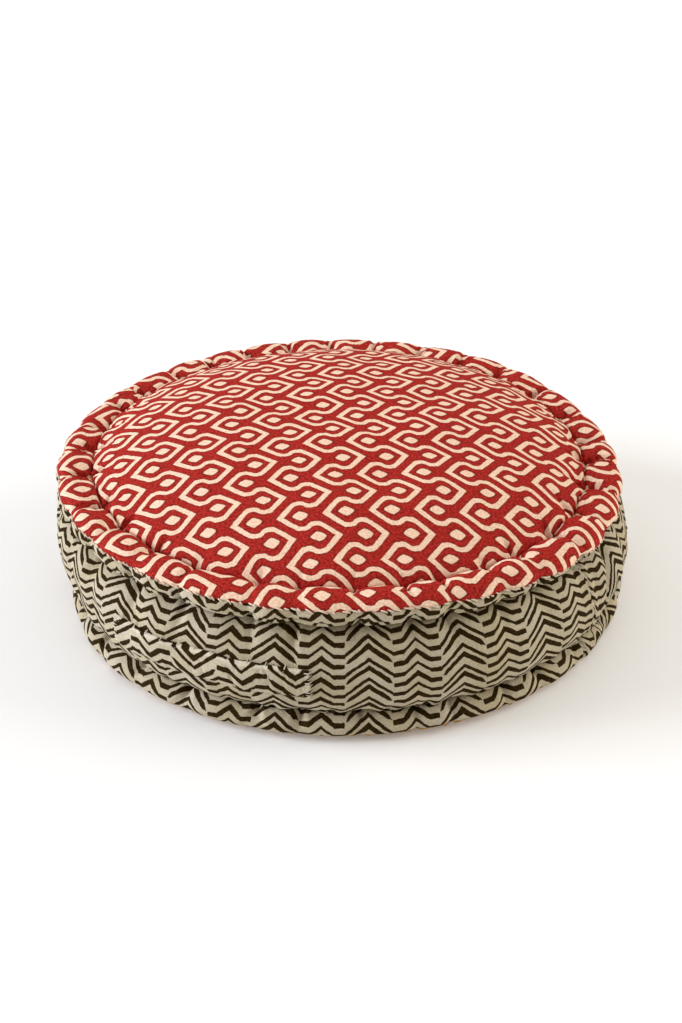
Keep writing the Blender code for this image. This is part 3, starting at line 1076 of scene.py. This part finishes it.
# The chevron print, charted in millimetres round the band and down the cloth. A narrow
# and a wide chevron take turns, and a thin and a thick row.
CHEVRON_REPEAT = 88.5
ROW_REPEAT = 21.6
RISE_TOP = 25.0
THIN_RISE = (
    # round the band, rise of the row's middle
    (0.0, 0.0), (10.2, 0.2), (22.1, 9.4), (34.0, 0.2), (44.2, 0.0), (44.6, 1.2),
    (66.3, 18.4), (88.1, 1.2), (88.5, 0.0),
)
THICK_RISE = (
    (0.0, 0.0), (10.2, 0.2), (22.1, 9.6), (34.0, 0.2), (44.1, 0.0), (44.3, 2.4),
    (47.5, 5.6), (66.3, 20.3), (86.0, 5.0), (88.3, 2.2), (88.5, 0.0),
)
THIN_ROW = (
    # round the band, half the row's height
    (0.0, 2.3), (10.0, 2.3), (11.5, 1.75), (32.8, 1.75), (34.2, 2.3), (44.0, 2.3),
    (45.2, 2.1), (66.3, 2.2), (87.5, 2.1), (88.5, 2.3),
)
THICK_ROW = (
    (0.0, 0.0), (0.35, 0.0), (0.5, 2.4), (10.4, 2.5), (13.0, 3.05), (31.0, 3.05),
    (33.8, 2.5), (43.8, 2.4), (43.95, 0.0), (44.6, 0.0), (47.5, 2.6), (64.0, 2.85),
    (67.0, 3.2), (84.5, 3.1), (88.1, 0.3), (88.5, 0.0),
)
ROW_HALF_TOP = 4.0
BAND_PRINT_START = (-2.5, 12.7)
HANDLE_PRINT_START = (156.6, -1.6)  # where the chart starts at the band's join, in mm


def chevron_cotton(name, start, turned, ground, shade, edge_highlight_and_wear=0.0):
    """Grey-beige cotton, block printed in charcoal brown: dry, matt and a little slubby."""
    material, tree, shader = new_cotton(name, 0.95, 0.0)
    place = cloth_place(tree)
    shifted = vector(tree, "SUBTRACT", wobbled(tree, place, 0.16, 3.0, 2.0), (*start, 0.0))
    if turned:
        shifted = scaled(tree, shifted, -1.0)
    apart = add(tree, "SeparateXYZ", (shifted,)).node
    along = calc(tree, "MULTIPLY", apart.outputs["X"], 1.0 / CHEVRON_REPEAT)
    along = calc(tree, "WRAP", along, 1.0, 0.0)
    inks = []
    for offset, rise_chart, half_chart in ((0.0, THIN_RISE, THIN_ROW),
                                           (ROW_REPEAT / 2, THICK_RISE, THICK_ROW)):
        rise, half = (
            calc(tree, "MULTIPLY",
                 charted(tree, along, [(x / CHEVRON_REPEAT, y / top) for x, y in chart]), top)
            for chart, top in ((rise_chart, RISE_TOP), (half_chart, ROW_HALF_TOP)))
        row = calc(tree, "ADD", apart.outputs["Y"], rise)
        row = calc(tree, "ADD", row, offset + ROW_REPEAT / 2)
        row = calc(tree, "SUBTRACT", calc(tree, "WRAP", row, ROW_REPEAT, 0.0), ROW_REPEAT / 2)
        inside = calc(tree, "SUBTRACT", half, calc(tree, "ABSOLUTE", row))
        inks.append(ramp(tree, grained(tree, place, 0.8, 0.9, inside), -0.2, 0.2))
    soft = ramp(tree, noise(tree, place, 0.02, 3.0), 0.35, 0.65)
    speckle = speckled(tree, place)
    base = mixed(tree, soft, ground, shade)
    base = mixed(tree, calc(tree, "MULTIPLY", speckle, 0.35), base, "#8a7c5c")
    if edge_highlight_and_wear:
        # painted highlight: a pale band is painted along the strip's turned top edge, standing
        # in for the light that the fold catches, and for some rubbing wear there
        down = add(tree, "SeparateXYZ", (place,)).node.outputs["Y"]
        base = mixed(tree, ramp(tree, down, 1.0, 3.4, edge_highlight_and_wear, 0.0), base, "#eadfc9")
    colour = mixed(tree, calc(tree, "MAXIMUM", *inks), base,
                   mixed(tree, speckle, "#190e00", "#3b2a08"))
    finish_cotton(tree, shader, colour, weave_height(tree, place), 0.0006)
    return material


def plain_ochre_cotton():
    """Ochre cotton, piece dyed: even, matt, with the weave showing."""
    material, tree, shader = new_cotton("dyed_ochre_cotton", 0.9, 0.1)
    place = cloth_place(tree)
    base = mixed(tree, noise(tree, place, 0.015, 4.0), "#b98a35", "#c79a48")
    colour = mixed(tree, noise(tree, place, 0.8, 4.0), base, "#9a6f28")
    finish_cotton(tree, shader, colour, weave_height(tree, place), 0.0006)
    return material


def spun_thread(name, code, dark_code):
    """Spun cotton sewing thread: matt, twisted, a little hairy."""
    material, tree, shader = new_cotton(name, 0.85, 0.1)
    twist = noise(tree, add(tree, "TexCoord").node.outputs["Object"], 900.0, 2.0)
    finish_cotton(tree, shader, mixed(tree, twist, dark_code, code), twist, 0.0002)
    return material


# Camera, floor and light
CAMERA_PLACE = (-0.005, -1.2913, 0.8286)
CAMERA_PITCH = 59.395  # degrees from straight down
CAMERA_YAW = -0.114
LENS = 48.82
SENSOR = 36.0
FLOOR_HALF = 14.0
LAMPS = (
    # name, strength, angle of softness, tilt, turn, colour
    ("key_left", 4.2, 35.0, 75.0, -92.0, "#e9efff"),
    ("fill_right", 1.9, 50.0, 72.0, 100.0, "#fff8f0"),
    ("top", 0.9, 80.0, 10.0, 180.0, "#fffaf2"),
)


def make_camera():
    data = bpy.data.cameras.new("camera")
    data.lens = LENS
    data.sensor_width = SENSOR
    camera = put("camera", data)
    camera.location = CAMERA_PLACE
    camera.rotation_euler = (math.radians(CAMERA_PITCH), 0.0, math.radians(CAMERA_YAW))
    bpy.context.scene.camera = camera


def make_floor():
    """A plain pale studio floor of matt paper, a little lit from below."""
    mesh = bpy.data.meshes.new("floor")
    mesh.from_pydata([(x * FLOOR_HALF, y * FLOOR_HALF, 0.0)
                      for x, y in ((-1, -1), (1, -1), (1, 1), (-1, 1))], [], [(0, 1, 2, 3)])
    floor = put("floor", mesh)
    floor.location.z = -0.0002
    material = bpy.data.materials.new("matt_paper")
    material.use_nodes = True
    set_inputs(material.node_tree.nodes["Principled BSDF"],
               {"Base Color": linear("#f2f1ef"), "Roughness": 0.9, "Specular IOR Level": 0.1,
                "Emission Color": linear("#ffffff"), "Emission Strength": 0.12})
    mesh.materials.append(material)


def make_light():
    world = bpy.data.worlds.new("studio")
    world.use_nodes = True
    set_inputs(world.node_tree.nodes["Background"],
               {"Color": linear("#fdfbf6"), "Strength": 0.36})
    bpy.context.scene.world = world
    for name, strength, softness, tilt, turn, code in LAMPS:
        data = bpy.data.lights.new(name, "SUN")
        data.energy = strength
        data.angle = math.radians(softness)
        data.color = linear(code)[:3]
        put(name, data).rotation_euler = (math.radians(tilt), 0.0, math.radians(turn))
    bpy.context.scene.view_settings.view_transform = "Standard"


def main():
    make_camera()
    make_floor()
    make_light()
    top = make_top_panel(printed_top_cotton())
    band = make_band(chevron_cotton("block_printed_cotton", BAND_PRINT_START, False,
                                    "#cabea7", "#c0b393"))
    bottom = make_bottom_panel(plain_ochre_cotton())
    # the handle's cotton gets a painted highlight along its turned top edge, with some wear
    handle = make_handle(chevron_cotton("handle_cotton", HANDLE_PRINT_START, True,
                                        "#cabea7", "#c6ba9c", edge_highlight_and_wear=0.75))
    thread = spun_thread("cream_cotton_thread", "#f4dfca", "#cdb096")
    pale_thread = spun_thread("undyed_cotton_thread", "#eee5d0", "#c6baa0")
    for stitches in (make_edge_stitches(thread), make_join_stitches(pale_thread),
                     make_handle_stitches(pale_thread)):
        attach(stitches, "root")
    for piece, node, slot in ((top, "top_panel", "red_print_cotton"),
                              (band, "cushion", "chevron_cotton"),
                              (bottom, "bottom_panel", "ochre_cotton"),
                              (handle, "handle", "handle_cotton")):
        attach(piece, "root")
        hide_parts(node)


main()
